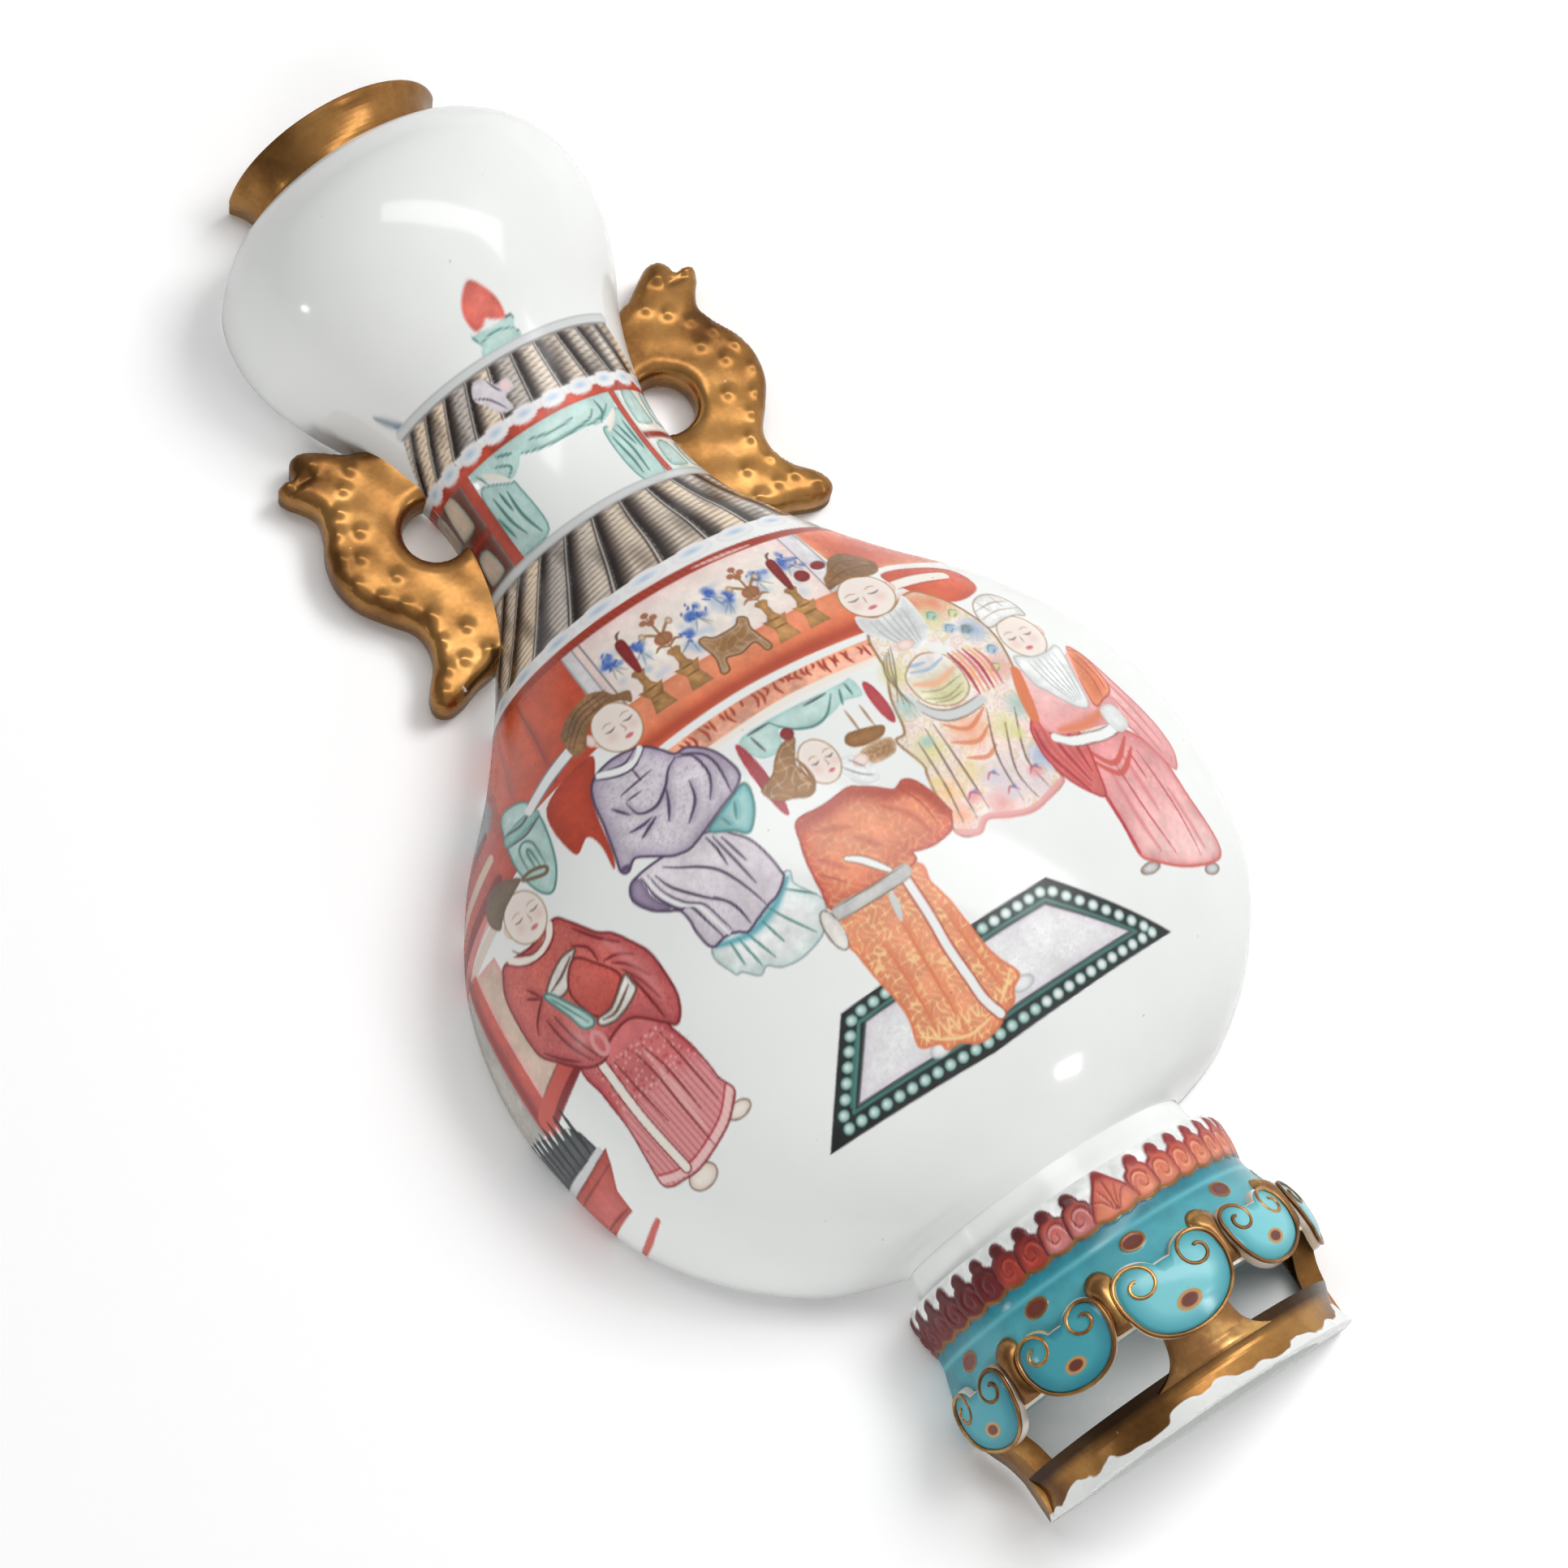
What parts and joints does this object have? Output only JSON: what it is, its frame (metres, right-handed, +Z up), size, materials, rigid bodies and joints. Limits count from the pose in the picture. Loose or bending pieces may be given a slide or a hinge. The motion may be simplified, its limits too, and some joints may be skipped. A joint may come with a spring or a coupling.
{
  "type": "wall vase",
  "caption": "Half-round porcelain wall vase with a flat back, garlic head, flattened belly, gilt beast handles and an openwork stand with ruyi heads.",
  "frame": {"origin": "middle of the base, at the foot's underside and halfway through the depth", "axes": "+Z up from the foot to the lip, +Y from the painted front to the flat back, +X to the right as seen from in front"},
  "size_m": [0.0968, 0.0316, 0.195],
  "materials": {
    "porcelain": "glossy",
    "gilt": "gilded, worn",
    "turquoise": "glossy",
    "petal_red": "glossy"
  },
  "bodies": {
    "root": {"foot_ring": "gilt", "front_leg": "gilt", "left_leg": "gilt", "right_leg": "gilt", "lip": "gilt", "left_handle": "gilt", "right_handle": "gilt", "apron": "turquoise", "ruyi_far_left": "turquoise", "ruyi_left": "turquoise", "ruyi_middle": "turquoise", "ruyi_right": "turquoise", "ruyi_far_right": "turquoise", "petal_collar": "petal_red", "foot_plate": "porcelain", "waist_ring": "porcelain", "stand_back": "porcelain", "vase_floor": "porcelain", "belly_shell": "porcelain", "back_slab": "porcelain", "neck_shell": "porcelain", "head_shell": "porcelain"}
  },
  "joints": []
}
